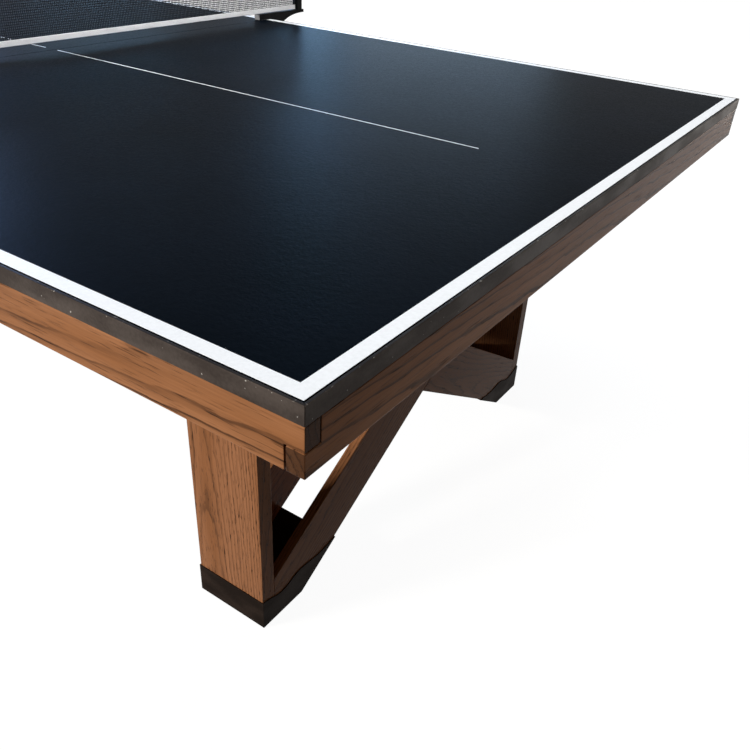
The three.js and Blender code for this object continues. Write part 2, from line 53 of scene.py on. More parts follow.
# Degrees of bend from which an edge gets a rounded arris, in so many steps
ARRIS_FROM = 28
ARRIS_STEPS = 2
# Degrees of bend from which an edge of the line paint or of a screw isn't shaded smooth
PAINT_SHARP = 30
SCREW_SHARP = 40
# Which way each side and each end lies from the middle
SIDES = {"left": -1, "right": 1}
ENDS = {"plus": 1, "minus": -1}
# Rise of a brace for each metre across
BRACE_SLOPE = 0.605
# Seeds of the net's slack, of the tapes' waves and of the first board in each group
NET_SEED = 41
TAPE_SEEDS = {"top": 3, "bottom": 4}
BOARD_SEEDS = {"side": 11, "end": 21, "plain": 31, "leg": 50}
# Settings and output of a Mix node that mixes colours
BLEND = {"data_type": "RGBA", "out": 2}
# The photograph's camera: its place, degrees turned from +Y, tipped down and rolled, lens and film in mm
CAMERA_PLACE = Vector((1.7094, -1.1794, 1.1306))
CAMERA_TURN = (32.91, 32.53, 3.31)
CAMERA_LENS = 37.147
CAMERA_FILM = 36
# Two softboxes light the table, a strip the net, and the windows give the coating its sheen
LAMPS = (
    # name, place, aim, width and depth, watts, colour
    ("overhead_softbox", (1.85, 0.8, 5.0), (0.9, 0.2, 0.76), (2.4, 2.4), 107, "#fffefa"),
    ("side_softbox", (-4.36, -7.83, 4.28), (0.5, -0.76, 0.5), (2.1, 0.8), 1190, "#fffaf4"),
    ("net_strip", (0.4, 0.25, 1.15), (0.0, 0.25, 0.83), (1.3, 0.08), 4.2, "#fbfcff"),
    ("low_window", (-1.75, 5.0, 1.35), (0.7, 0.2, 0.76), (1.7, 0.5), 35, "#badeff"),
    ("far_window", (-3.14, 4.83, 1.58), (0.4, 0.2, 0.76), (0.5, 0.3), 21, "#8ccaff"),
    ("high_window", (-1.99, 3.52, 2.5), (0.4, 0.2, 0.76), (0.1, 0.1), 14, "#a0caff"),
    ("left_window", (-3.1, 0.9, 1.68), (0.2, -0.5, 0.76), (0.9, 0.4), 84, "#93bcff"),
    ("corner_window", (-3.6, 2.9, 1.5), (0.2, -0.2, 0.76), (1.0, 0.4), 9, "#90cfff"),
    ("end_window", (2.0, 4.6, 0.35), (1.37, 0.6, 0.7), (0.5, 0.5), 10, "#fff2e6"),
)

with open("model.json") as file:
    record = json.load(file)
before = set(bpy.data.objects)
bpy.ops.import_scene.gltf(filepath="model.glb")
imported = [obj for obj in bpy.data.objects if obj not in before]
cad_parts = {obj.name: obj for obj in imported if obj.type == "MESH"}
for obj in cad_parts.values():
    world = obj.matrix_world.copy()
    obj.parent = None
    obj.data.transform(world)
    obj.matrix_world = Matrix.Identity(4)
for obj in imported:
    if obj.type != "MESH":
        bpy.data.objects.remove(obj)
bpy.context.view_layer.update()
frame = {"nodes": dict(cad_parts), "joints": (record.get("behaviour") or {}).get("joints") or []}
nodes = frame["nodes"]


def linear(code):
    """Linear colour of an sRGB hex value."""
    shares = [int(code[i : i + 2], 16) / 255 for i in (1, 3, 5)]
    return tuple(s / 12.92 if s <= 0.04045 else ((s + 0.055) / 1.055) ** 2.4 for s in shares)


def mm(*sizes):
    """Sizes in millimetres, as a tuple in metres."""
    return tuple(size * MM for size in sizes)


def length(name, millimetres, description):
    """A length that the user can change."""
    return FloatProperty(
        name=name,
        description=description,
        default=millimetres * MM,
        min=0,
        precision=5,
        unit="LENGTH",
    )


def paint(name, code, description):
    """A colour that the user can change."""
    return FloatVectorProperty(
        name=name,
        description=description,
        default=linear(code),
        min=0,
        max=1,
        size=3,
        subtype="COLOR",
    )


class TopSettings(bpy.types.PropertyGroup):
    """Sizes and colours of the playing surface."""

    border_line: length("Border line", 20, "Width of the white line round the playing surface")
    centre_line: length("Centre line", 2.7, "Width of the white line along the middle")
    centre_start: length("Centre line start", 10, "From the seam to the near half's centre line")
    centre_far_start: length("Far centre line start", 35, "From the seam to the far half's centre line")
    centre_stop: length("Centre line stop", 243, "From the end of the table to the end of the centre line")
    line_height: length("Line thickness", 0.12, "How far the line paint stands above the coating")
    line_depth: length("Line depth", 0.05, "How deep the line paint has sunk into the coating")
    grit: length("Coating grit", 3.2, "Spacing of the fine mottling, drawn coarse so that it shows")
    spray: length("Coating ripple", 9, "Spacing of the ripple from spraying, which breaks up the sheen")
    coating: paint("Coating", "#03070d", "Dark coating of the playing surface")
    coating_worn: paint("Coating, lighter", "#060c14", "Where the coating has been rubbed lighter")
    line_paint: paint("Line paint", "#f3f7fa", "White of the lines")
    core: paint("Core", "#5a4736", "Underside of the board")


class WoodSettings(bpy.types.PropertyGroup):
    """Sizes and colours of the stained oak and of the plain wood under the top."""

    ring: length("Ring spacing", 9.5, "Distance between two dark veins on the long boards")
    fine_ring: length("Fine ring spacing", 6, "Distance between two veins on the posts and braces")
    pore_spacing: length("Pore spacing", 2.6, "Between two rows of pores, drawn coarse so that they show")
    pore_length: length("Pore length", 18, "Length of a pore along the grain")
    long_pore_spacing: length("Pore spacing, long boards", 1.8, "Between two rows of pores on long boards")
    long_pore_length: length("Pore length, long boards", 45, "Length of a pore on long boards")
    arris: length("Arris", 0.9, "Rounding of the boards' edges")
    light: paint("Light wood", "#b8825c", "Lightest stained wood")
    warm: paint("Warm wood", "#9a6640", "Usual colour of the stained wood")
    post_light: paint("Light wood, posts", "#a77350", "Lightest stained wood of the posts and braces")
    post_warm: paint("Warm wood, posts", "#8f5d39", "Usual colour of the posts and braces")
    ring_dark: paint("Ring", "#6a452c", "Stained wood in the porous part of a ring")
    pore: paint("Pore", "#2a1a11", "Stain gathered in the pores")
    plain: paint("Plain wood", "#a9855c", "Planed wood of the hidden frame")
    plain_dark: paint("Plain wood ring", "#83623f", "Darker part of a ring in the hidden frame")


class MetalSettings(bpy.types.PropertyGroup):
    """Sizes and colours of the edge bands, the shoes and the black parts."""

    arris: length("Arris", 0.35, "Rounding of the metal edges")
    band: paint("Edge band", "#574f4a", "Dark patina of the edge bands")
    # At a tenth, this colour is also the painted shade on the bands' faces that look up
    band_deep: paint("Edge band, darker", "#3d3632", "Darker clouds in that patina")
    bare: paint("Bare steel", "#d2cfc9", "Specks and lines where the patina is worn through")
    shoe: paint("Shoe", "#2e231c", "Bronze patina of the shoes")
    shoe_deep: paint("Shoe, darker", "#1b130e", "Darker clouds in that patina")
    black: paint("Black paint", "#0c0c0c", "Powder coat of the clamps and net posts")
    cut_end: paint("Cut end", "#77787a", "Worn end of the clamp's arm")
    rubber: paint("Rubber", "#1b1b1b", "Rubber of the post caps")


class NetSettings(bpy.types.PropertyGroup):
    """Sizes and colours of the net."""

    pitch: length("Mesh pitch", 5.0, "Distance between two threads of the net")
    thread: length("Thread", 1.8, "Thickness of a thread")
    knot: length("Knot", 2.6, "Width of a knot")
    slack: length("Slack", 0.5, "How far a knot may lie from its even place")
    cloth: length("Tape cloth", 0.4, "Thickness of the tape")
    stitch: length("Stitch", 3.2, "Length of a stitch and the space after it")
    sewing: length("Sewing thread", 0.7, "Width of a row of stitches")
    seam_inset: length("Seam inset", 2.2, "From the tape's free edge to its line of stitches")
    weave: length("Weave", 0.8, "Spacing of the tape's yarns, drawn coarse so that they show")
    mesh_colour: paint("Net", "#1a1e25", "Thread of the net")
    tape_colour: paint("Tape", "#f4f5f7", "Woven tape")
    stitch_colour: paint("Stitching", "#c4c5c6", "Sewing thread")


class ClampSettings(bpy.types.PropertyGroup):
    """Sizes of the clamps' screws and felts."""

    pitch: length("Thread pitch", 2, "Rise of the screw in one turn")
    thread_depth: length("Thread depth", 0.6, "Depth of the screw's thread")
    screw_radius: length("Screw radius", 4, "Outside of the screw's thread")
    tip_radius: length("Tip radius", 2.8, "Plain tip that turns in the swivel pad")
    tip_length: length("Tip length", 2.8, "Length of that tip")
    hub_radius: length("Hub radius", 8, "Neck between the knob and the screw")
    hub_height: length("Hub height", 6, "Height of that neck")
    knob_radius: length("Knob radius", 16, "Over the knob's lobes")
    knob_wave: length("Knob wave", 2, "Depth of the hollows between the lobes")
    knob_height: length("Knob height", 12, "Thickness of the knob")
    knob_lobes: IntProperty(name="Knob lobes", description="Lobes round the knob", default=5, min=3)
    knob_rim: length("Knob rim", 3, "Rounding of the knob's rims")
    chamfer: length("Tip chamfer", 0.4, "Chamfer at the end of the tip")
    felt: paint("Felt", "#232324", "Pressed felt under the clamp's arm")


class StudioSettings(bpy.types.PropertyGroup):
    """Floor, lamps and sky of the studio."""

    floor: paint("Floor", "#585857", "Pale floor, as the table sees it")
    floor_radius: length("Floor radius", 24000, "How far the floor runs")
    sky: FloatProperty(name="Sky", description="Strength of the light from all round", default=0.072, min=0)
    sky_colour: paint("Sky colour", "#ffe8d0", "Tint of the light from all round")
    white_from: length("White from", 1700, "Where the floor starts to turn full white")
    white_at: length("White at", 3000, "Where the floor is full white whatever the lamps do")
    glow: FloatProperty(
        name="Floor glow",
        description="Share of white that the floor shows near the table by itself. The lamps add the rest",
        default=0.955,
        min=0,
        max=1,
        subtype="FACTOR",
    )


def add(tree, kind, sockets=None, out=0, **settings):
    """
    Adds a shader node with its settings and its inputs' values or links, and gives back one of its
    outputs. A colour Mix has its share at input 0 and its colours at 6 and 7, a Map Range its two ranges
    at 1 to 4.
    """
    made = tree.nodes.new("ShaderNode" + kind)
    for key, value in settings.items():
        setattr(made, key, value)
    for key, value in (sockets or {}).items():
        if isinstance(value, bpy.types.NodeSocket):
            tree.links.new(value, made.inputs[key])
        else:
            made.inputs[key].default_value = value
    return made.outputs[out] if made.outputs else None


def full(colour, share=1.0):
    """A colour with its alpha, darkened or lightened by a share."""
    return (*(min(1.0, share * c) for c in tuple(colour)[:3]), 1)


def fresh_tree(owner):
    """The node tree of a material or world, emptied."""
    owner.use_nodes = True
    owner.node_tree.nodes.clear()
    return owner.node_tree


def finish_of(name, build):
    """A node material from a function that works out the shader's inputs in the material's tree."""
    made = bpy.data.materials.new(name)
    tree = fresh_tree(made)
    add(tree, "OutputMaterial", {"Surface": add(tree, "BsdfPrincipled", build(tree))})
    return made


def grains(tree, vector, size, detail=2.0, low=0.0, high=1.0):
    """
    A pattern: noise stretched between two levels. Its grains have one size in metres, or one along each
    axis.
    """
    size = size if len(size) == 3 else size * 3
    scaled = add(tree, "VectorMath", {0: vector, 1: size}, operation="DIVIDE")
    noise = add(tree, "TexNoise", {"Vector": scaled, "Scale": 1.0, "Detail": detail})
    return add(tree, "MapRange", {"Value": noise, 1: low, 2: high}, interpolation_type="SMOOTHSTEP")


def seen_ray(tree):
    """1 for a ray from the camera, a reflection or a transmission, and 0 for any other."""
    seen = add(tree, "LightPath", out="Is Camera Ray")
    for ray in ("Is Glossy Ray", "Is Transmission Ray"):
        seen = add(tree, "Math", {0: seen, 1: add(tree, "LightPath", out=ray)}, operation="MAXIMUM")
    return seen


def surface(name, *grids, around=False, capped=False, uv=None, sharp=None):
    """
    A mesh from grids of points, each an array of copies by rows by columns by 3. Around joins the last
    column to the first, and capped closes the first and last rows. Points that meet are merged, and faces
    are turned outwards. Sharp is the angle in degrees from which an edge isn't shaded smooth.
    """
    places, corners, starts = [], [], []
    base = used = 0
    for grid in grids:
        copies, rows, columns, _ = grid.shape
        i, j = np.meshgrid(np.arange(rows - 1), np.arange(columns - (not around)), indexing="ij")
        after = (j + 1) % columns
        row, below = i * columns, (i + 1) * columns
        quads = np.stack([row + j, row + after, below + after, below + j], -1)
        first = base + np.arange(copies)[:, None, None] * rows * columns
        faces = [(quads.reshape(1, -1, 4) + first, 4)]
        if capped:
            ends = np.stack([np.arange(columns)[::-1], (rows - 1) * columns + np.arange(columns)])
            faces.append((ends[None] + first, columns))
        for face, sides in faces:
            face = face.ravel()
            corners.append(face)
            starts.append(used + np.arange(0, len(face), sides))
            used += len(face)
        places.append(grid.reshape(-1, 3))
        base += copies * rows * columns
    corners, places, starts = (np.concatenate(part) for part in (corners, places, starts))
    mesh = bpy.data.meshes.new(name)
    mesh.vertices.add(len(places))
    mesh.vertices.foreach_set("co", places.ravel())
    mesh.loops.add(len(corners))
    mesh.loops.foreach_set("vertex_index", corners)
    mesh.polygons.add(len(starts))
    mesh.polygons.foreach_set("loop_start", starts)
    mesh.update(calc_edges=True)
    if uv is not None:
        layer = mesh.uv_layers.new(name="cut")
        layer.data.foreach_set("uv", uv.reshape(-1, 2)[corners].ravel())
    tidy = bmesh.new()
    tidy.from_mesh(mesh)
    bmesh.ops.remove_doubles(tidy, verts=tidy.verts, dist=WELD)
    bmesh.ops.recalc_face_normals(tidy, faces=tidy.faces)
    tidy.to_mesh(mesh)
    tidy.free()
    mesh.shade_smooth()
    if sharp is not None:
        mesh.set_sharp_from_angle(angle=math.radians(sharp))
    made = bpy.data.objects.new(name, mesh)
    bpy.context.scene.collection.objects.link(made)
    return made


def dress(piece, made, body=None, stands_for=()):
    """Gives a piece its material, and a new piece its body, and hides the nodes that it stands for."""
    if piece.material_slots:
        piece.material_slots[0].material = made
    else:
        piece.data.materials.append(made)
    if body:
        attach(piece, body)
    if stands_for:
        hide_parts(*stands_for)


def ease(piece, radius):
    """Rounds the arrises of a piece of the frame with live modifiers, which leave its mesh as it is."""
    weld = piece.modifiers.new("Weld", "WELD")
    weld.merge_threshold = WELD
    bevel = piece.modifiers.new("Arris", "BEVEL")
    bevel.width = radius
    bevel.segments = ARRIS_STEPS
    bevel.limit_method = "ANGLE"
    bevel.angle_limit = math.radians(ARRIS_FROM)


def finish_nodes(names, made, arris):
    """Gives nodes of the frame their material and rounds their arrises."""
    for name in names:
        dress(nodes[name], made)
        ease(nodes[name], arris)


def middle_of(name):
    """Centre of a node's box."""
    low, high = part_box(name)
    return (low + high) / 2


def ring_porous(node, along, face, seed, colours, ring, pores, pith, sway, vein_share, end_grain=0.8):
    """
    Ring-porous wood, planed and stained, as a solid pattern. Rings are distances from a pith that runs
    along the board behind its face and leans a little, swayed by slow noise, so that faces show long
    arches and ends show arcs. A ring starts with a thin dark vein and fades. The vein comes and goes along
    the board, and finer noise breaks it up. Pores are noise drawn out along the grain, dense in the early
    part of each ring, where the stain gathers. Sawn ends take up more of the stain.
    """
    # The board lies somewhere in so many metres of trunk, the pith leans by a share of the way along, and the
    # edge of a ring wavers
    trunk, lean, waver = 9, 0.03, 4 * MM
    rng = np.random.default_rng(seed)
    along, face = Vector(along).normalized(), Vector(face).normalized()
    turn = Matrix((along, face.cross(along), face))
    side, depth = pith
    shift = Vector((rng.uniform(0, trunk), -side, depth)) - turn @ middle_of(node)
    light, warm, dark, pore = (full(c) for c in colours)
    spacing, reach = pores

    def build(tree):
        place = add(tree, "TexCoord", out="Object")
        board = add(tree, "Mapping", {"Vector": place, "Location": shift, "Rotation": turn.to_euler()})
        slow = add(tree, "VectorMath", {0: board, 1: mm(454.5, 142.9, 142.9)}, operation="DIVIDE")
        swayed = add(tree, "TexNoise", {"Vector": slow, "Scale": 1.0, "Detail": 1.0}, out=1)
        bent = add(tree, "VectorMath", {0: swayed, 1: (0, *sway), 2: board}, operation="MULTIPLY_ADD")
        across = add(tree, "VectorMath", {0: bent, 1: (0, 1, 1)}, operation="MULTIPLY")
        radius = add(tree, "VectorMath", {0: across}, out="Value", operation="LENGTH")
        run = add(tree, "SeparateXYZ", {0: board}, out=0)
        leaning = add(tree, "Math", {0: run, 1: lean, 2: radius}, operation="MULTIPLY_ADD")
        uneven = grains(tree, board, mm(71.43, 11.11, 11.11), detail=3.0)
        wavering = add(tree, "Math", {0: uneven, 1: waver, 2: leaning}, operation="MULTIPLY_ADD")
        turns = add(tree, "Math", {0: wavering, 1: ring}, operation="DIVIDE")
        phase = add(tree, "Math", {0: turns}, operation="FRACT")
        fading = add(tree, "MapRange", {0: phase, 1: 0.08, 2: 0.55, 3: 1.0, 4: 0.0})
        rising = add(tree, "MapRange", {0: phase, 1: 0.93, 2: 1.0, 3: 0.0, 4: 1.0})
        porous = add(tree, "Math", {0: fading, 1: rising}, operation="MAXIMUM")
        comes = grains(tree, board, mm(416.7, 45.45, 45.45), low=0.15, high=0.52)
        breaks = grains(tree, board, mm(111.1, 12.5, 12.5), detail=5.0, low=0.26, high=0.56)
        start = {0: porous, 1: 0.7, 2: 1.0, 3: 0.0, 4: vein_share}
        vein = add(tree, "MapRange", start, interpolation_type="SMOOTHSTEP")
        for share in (comes, breaks):
            vein = add(tree, "Math", {0: vein, 1: share}, operation="MULTIPLY")
        early = add(tree, "MapRange", {0: comes, 3: 0.35, 4: 1.0})
        early = add(tree, "Math", {0: porous, 1: early}, operation="MULTIPLY")
        soft = add(tree, "Math", {0: early, 1: 0.46}, operation="MULTIPLY")
        dashes = grains(tree, board, (reach, spacing, spacing), low=0.56, high=0.68)
        thick = add(tree, "MapRange", {0: early, 1: 0.0, 2: 0.8, 3: 0.36, 4: 0.84})
        filled = add(tree, "Math", {0: dashes, 1: thick}, operation="MULTIPLY")
        tone = grains(tree, board, mm(500, 71.43, 71.43), low=0.3, high=0.7)
        fibre = grains(tree, board, mm(62.5, 2, 2), detail=3.0, low=0.25, high=0.75)
        streak = add(tree, "Math", {0: fibre, 1: 0.3}, operation="MULTIPLY")
        normal = add(tree, "TexCoord", out="Normal")
        facing = add(tree, "VectorMath", {0: normal, 1: along}, out="Value", operation="DOT_PRODUCT")
        ends = add(tree, "Math", {0: facing}, operation="ABSOLUTE")
        cut = add(tree, "MapRange", {0: ends, 1: 0.6, 2: 0.9, 3: 0.0, 4: end_grain})
        colour = add(tree, "Mix", {0: tone, 6: warm, 7: light}, **BLEND)
        for share, stain in ((soft, dark), (streak, dark), (vein, pore), (filled, pore), (cut, pore)):
            colour = add(tree, "Mix", {0: share, 6: colour, 7: stain}, **BLEND)
        relief = add(tree, "Math", {0: filled, 1: -1.0, 2: 1.0}, operation="MULTIPLY_ADD")
        return {
            "Base Color": colour,
            "Roughness": add(tree, "MapRange", {0: filled, 3: 0.25, 4: 0.6}),
            "Specular IOR Level": 0.02,
            "Normal": add(tree, "Bump", {"Height": relief, "Distance": 0.2 * MM}),
        }

    return build


def patina(base, deep_and_top_shade, bare, gloss, top=None):
    """
    Hot-rolled steel with a chemical patina: slow clouds of two browns, finer mottling in them, and a few
    tiny bare specks. Where the height of a top arris is given, the faces that look up get a painted shade,
    nearly black, and handling has rubbed a thin broken line bare along that arris.
    """
    # How far below the top the rubbed line starts, and where it is in full
    rubbed_from, rubbed_full = mm(0.9, 0.3)

    def build(tree):
        place = add(tree, "TexCoord", out="Object")
        clouds = grains(tree, place, mm(111.1, 111.1, 41.67), detail=3.0, low=0.32, high=0.68)
        mottle = grains(tree, place, mm(3.846), detail=3.0, low=0.3, high=0.75)
        both = add(tree, "Math", {0: mottle, 1: 0.25, 2: clouds}, operation="MULTIPLY_ADD")
        colour = add(tree, "Mix", {0: both, 6: full(base), 7: full(deep_and_top_shade)}, **BLEND)
        specks = grains(tree, place, mm(3.3333), detail=0.0, low=0.85, high=0.89)
        worn = add(tree, "Math", {0: specks, 1: 0.7}, operation="MULTIPLY")
        if top is not None:
            # Painted shade: the faces that look up are turned nearly black, a tenth of the darker colour
            upward = add(tree, "SeparateXYZ", {0: add(tree, "TexCoord", out="Normal")}, out=2)
            painted_top_shade = add(tree, "MapRange", {0: upward, 1: 0.75, 2: 0.95, 3: 0.0, 4: 0.85})
            colour = add(tree, "Mix", {0: painted_top_shade, 6: colour, 7: full(deep_and_top_shade, 0.1)}, **BLEND)
            height = add(tree, "SeparateXYZ", {0: place}, out=2)
            near = add(tree, "MapRange", {0: height, 1: top - rubbed_from, 2: top - rubbed_full})
            rubbed = grains(tree, place, mm(6.6667, 6.6667, 2), detail=5.0, low=0.62, high=0.8)
            line = add(tree, "Math", {0: near, 1: rubbed}, operation="MULTIPLY")
            line = add(tree, "Math", {0: line, 1: 0.8}, operation="MULTIPLY")
            worn = add(tree, "Math", {0: worn, 1: line}, operation="MAXIMUM")
        return {
            "Base Color": add(tree, "Mix", {0: worn, 6: colour, 7: full(bare)}, **BLEND),
            "Metallic": 0.05,
            "Roughness": add(tree, "MapRange", {0: both, 3: 0.36, 4: 0.5}),
            "Specular IOR Level": gloss,
            "Normal": add(tree, "Bump", {"Height": mottle, "Distance": 0.05 * MM}),
        }

    return build


def coated_board(s):
    """
    Board with a sprayed dark coating on its face: fine grit that breaks the gloss into a soft sheen, a
    ripple from the spraying, and slow clouds where balls and hands have rubbed it. The edges are sealed
    with it, and the underside is bare board.
    """

    def build(tree):
        place = add(tree, "TexCoord", out="Object")
        grit = grains(tree, place, (s.grit,), detail=3.0, low=0.25, high=0.75)
        clouds = grains(tree, place, mm(142.9, 111.1, 142.9), detail=5.0, low=0.3, high=0.7)
        lighter = add(tree, "Math", {0: grit, 1: clouds}, operation="MULTIPLY")
        coating = add(tree, "Mix", {0: lighter, 6: full(s.coating), 7: full(s.coating_worn)}, **BLEND)
        chips = grains(tree, place, mm(3.333, 3.333, 16.67), detail=3.0)
        core = add(tree, "Mix", {0: chips, 6: full(s.core), 7: full(s.core, 0.5)}, **BLEND)
        upward = add(tree, "SeparateXYZ", {0: add(tree, "TexCoord", out="Normal")}, out=2)
        faced = add(tree, "MapRange", {0: upward, 1: -0.8, 2: -0.5})
        sprayed = grains(tree, place, (s.spray,), detail=4.0, low=0.2, high=0.8)
        relief = add(tree, "Math", {0: sprayed, 1: 2.0, 2: grit}, operation="MULTIPLY_ADD")
        return {
            "Base Color": add(tree, "Mix", {0: faced, 6: core, 7: coating}, **BLEND),
            "Roughness": add(tree, "MapRange", {0: grit, 3: 0.46, 4: 0.38}),
            "Specular IOR Level": 0.004,
            "Normal": add(tree, "Bump", {"Height": relief, "Distance": 0.06 * MM}),
        }

    return build


def matt_finish(colour, tones, size, rough, specular=0.3, relief=0.03, sheen=0.0):
    """
    A dull finish with fine grain: one colour in two tones, roughness that follows them and a shallow
    relief in millimetres. Line enamel has roller marks, rubber a bloom, felt its matted fibres and net
    twine its strands.
    """
    first, second = (full(colour, tone) for tone in tones)

    def build(tree):
        place = add(tree, "TexCoord", out="Object")
        marks = grains(tree, place, size, detail=3.0, low=0.3, high=0.72)
        return {
            "Base Color": add(tree, "Mix", {0: marks, 6: first, 7: second}, **BLEND),
            "Roughness": add(tree, "MapRange", {0: marks, 3: rough[0], 4: rough[1]}),
            "Specular IOR Level": specular,
            "Sheen Weight": sheen,
            "Normal": add(tree, "Bump", {"Height": marks, "Distance": relief * MM}),
        }

    return build


def powder_coat(colour, cut_end=None, end_at=None):
    """
    Black powder coat: the orange peel of the baked powder, slightly glossier on its crests, and dust. A
    sawn end at a distance from the middle of the table is worn to grey.
    """
    # How far from the sawn end the wear starts, and where it is in full
    worn_from, worn_full = mm(1.2, 0.4)

    def build(tree):
        place = add(tree, "TexCoord", out="Object")
        peel = grains(tree, place, mm(1.1111), detail=1.0)
        dust = grains(tree, place, mm(11.11), detail=4.0, low=0.4, high=0.8)
        shade = add(tree, "Mix", {0: dust, 6: full(colour), 7: full(colour, 2.2)}, **BLEND)
        if end_at is not None:
            across = add(tree, "SeparateXYZ", {0: place}, out=1)
            distance = add(tree, "Math", {0: across}, operation="ABSOLUTE")
            sawn = add(tree, "MapRange", {0: distance, 1: end_at + worn_from, 2: end_at + worn_full})
            shade = add(tree, "Mix", {0: sawn, 6: shade, 7: full(cut_end)}, **BLEND)
        return {
            "Base Color": shade,
            "Roughness": add(tree, "MapRange", {0: peel, 3: 0.6, 4: 0.48}),
            "Specular IOR Level": 0.035,
            "Normal": add(tree, "Bump", {"Height": peel, "Distance": 0.04 * MM}),
        }

    return build


def oiled_steel(colour):
    """Blackened and oiled steel of the screws: dark and smooth, with fine turning marks round it."""

    def build(tree):
        place = add(tree, "TexCoord", out="Object")
        marks = grains(tree, place, mm(16.67, 16.67, 0.25))
        return {
            "Base Color": add(tree, "Mix", {0: marks, 6: full(colour), 7: full(colour, 3)}, **BLEND),
            "Metallic": 0.7,
            "Roughness": add(tree, "MapRange", {0: marks, 3: 0.3, 4: 0.42}),
            "Normal": add(tree, "Bump", {"Height": marks, "Distance": 0.01 * MM}),
        }

    return build


def woven_tape(s, width):
    """
    Plain-woven tape: yarns over and under each other, measured along the cut tape, a row of stitches near
    each free edge, and a little grey soil.
    """
    # Share of a stitch and its space that the thread covers
    stitch_share = 0.68

    def build(tree):
        cut = add(tree, "TexCoord", out="UV")
        along = add(tree, "SeparateXYZ", {0: cut}, out=0)
        across = add(tree, "SeparateXYZ", {0: cut}, out=1)
        waves = []
        for way in (along, across):
            turned = add(tree, "Math", {0: way, 1: 2 * math.pi / s.weave}, operation="MULTIPLY")
            waves.append(add(tree, "Math", {0: turned}, operation="SINE"))
        yarns = add(tree, "Math", {0: waves[0], 1: waves[1]}, operation="MULTIPLY")
        high = add(tree, "MapRange", {0: yarns, 1: -1.0, 2: 1.0})
        offset = add(tree, "Math", {0: across, 1: width / 2}, operation="SUBTRACT")
        from_middle = add(tree, "Math", {0: offset}, operation="ABSOLUTE")
        seam = {0: from_middle, 1: width / 2 - s.seam_inset, 2: s.sewing / 2}
        row = add(tree, "Math", seam, operation="COMPARE")
        steps = add(tree, "Math", {0: along, 1: s.stitch}, operation="DIVIDE")
        turn = add(tree, "Math", {0: steps}, operation="FRACT")
        dash = add(tree, "Math", {0: turn, 1: stitch_share}, operation="LESS_THAN")
        stitched = add(tree, "Math", {0: row, 1: dash}, operation="MULTIPLY")
        place = add(tree, "TexCoord", out="Object")
        soil = grains(tree, place, mm(33.33, 33.33, 8.333), detail=4.0, low=0.35, high=0.8)
        soiled = add(tree, "Math", {0: soil, 1: 0.25}, operation="MULTIPLY")
        tones = {0: high, 6: full(s.tape_colour, 0.86), 7: full(s.tape_colour)}
        colour = add(tree, "Mix", tones, **BLEND)
        for share in (soiled, stitched):
            colour = add(tree, "Mix", {0: share, 6: colour, 7: full(s.stitch_colour)}, **BLEND)
        relief = add(tree, "Math", {0: stitched, 1: 1.5, 2: high}, operation="MULTIPLY_ADD")
        return {
            "Base Color": colour,
            "Roughness": add(tree, "MapRange", {0: high, 3: 0.9, 4: 0.8}),
            "Specular IOR Level": 0.2,
            "Normal": add(tree, "Bump", {"Height": relief, "Distance": 0.12 * MM}),
        }

    return build


def mitred_strip(path, width, low, high):
    """
    A flat strip carried along a path: its section is a low band whose shoulders slope over four fifths of
    its height. At each corner of the path the section is stretched along the mitre, the sum of the two
    sides' normals over one plus their product.
    """
    path = np.array(path, float)
    steps = np.diff(path, axis=0)
    steps /= np.linalg.norm(steps, axis=1)[:, None]
    normals = np.stack([-steps[:, 1], steps[:, 0]], -1)
    before = np.concatenate([normals[:1], normals])
    after = np.concatenate([normals, normals[-1:]])
    mitre = (before + after) / (1 + (before * after).sum(1))[:, None]
    half = width / 2
    shoulder = 0.8 * (high - low)
    across = np.array([-half, -half, shoulder - half, half - shoulder, half, half])
    up = np.array([low, high - shoulder, high, high, high - shoulder, low])
    flat = path[:, None] + across[None, :, None] * mitre[:, None]
    heights = np.broadcast_to(up[None, :, None], (*flat.shape[:2], 1))
    return np.concatenate([flat, heights], -1)[None]


def pillow(low, high, rows, columns, power):
    """
    A pillow between two corners: sines and cosines of latitude and longitude raised to one small power,
    which squares the round form off and leaves its edges eased.
    """
    middle, half = (np.array(low) + high) / 2, (np.array(high) - low) / 2
    lat = np.linspace(-math.pi / 2, math.pi / 2, rows)[:, None]
    lon = np.linspace(0, 2 * math.pi, columns, endpoint=False)[None]
    waves = [np.cos(lat) + 0 * lon, np.sin(lat) + 0 * lon, np.cos(lon) + 0 * lat, np.sin(lon) + 0 * lat]
    c, s, x, y = (np.sign(w) * np.abs(w) ** power for w in waves)
    return (middle + half * np.stack([c * x, c * y, s], -1))[None]


def thread_net(s):
    """
    A net of knotted threads. Knots lie on an even grid, each moved by a little seeded slack, of which less
    goes out of the net's plane. A thread is a four-sided bar through its knots, and a knot two four-sided
    pyramids base to base.
    """
    off_plane = 0.4
    low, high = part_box("net_mesh")
    rng = np.random.default_rng(NET_SEED)
    columns = round((high.y - low.y) / s.pitch) + 1
    rows = round((high.z - low.z) / s.pitch) + 1
    edge = s.thread / 2
    y, z = np.meshgrid(np.linspace(low.y + edge, high.y - edge, columns), np.linspace(low.z, high.z, rows))
    knots = np.stack([np.full_like(y, (low.x + high.x) / 2), y, z], -1)
    shifts = rng.uniform(-1, 1, knots.shape) * (off_plane * s.slack, s.slack, s.slack)
    shifts[:, [0, -1], 1] = 0
    shifts[[0, -1], :, 2] = 0
    knots += shifts
    turn = np.arange(4) * math.pi / 2
    flat = np.stack([np.cos(turn + math.pi / 4), np.sin(turn + math.pi / 4), 0 * turn], -1)
    upright = knots.transpose(1, 0, 2)[:, :, None] + edge * flat
    level = knots[:, :, None] + edge * np.stack([np.cos(turn), 0 * turn, np.sin(turn)], -1)
    waist = np.stack([np.cos(turn), np.sin(turn), 0 * turn], -1)
    tip = np.array([(0, 0, 1)] * 4, float)
    lump = s.knot / 2 * np.stack([-tip, waist, tip])
    tied = knots.reshape(-1, 1, 1, 3) + lump
    return upright, level, tied


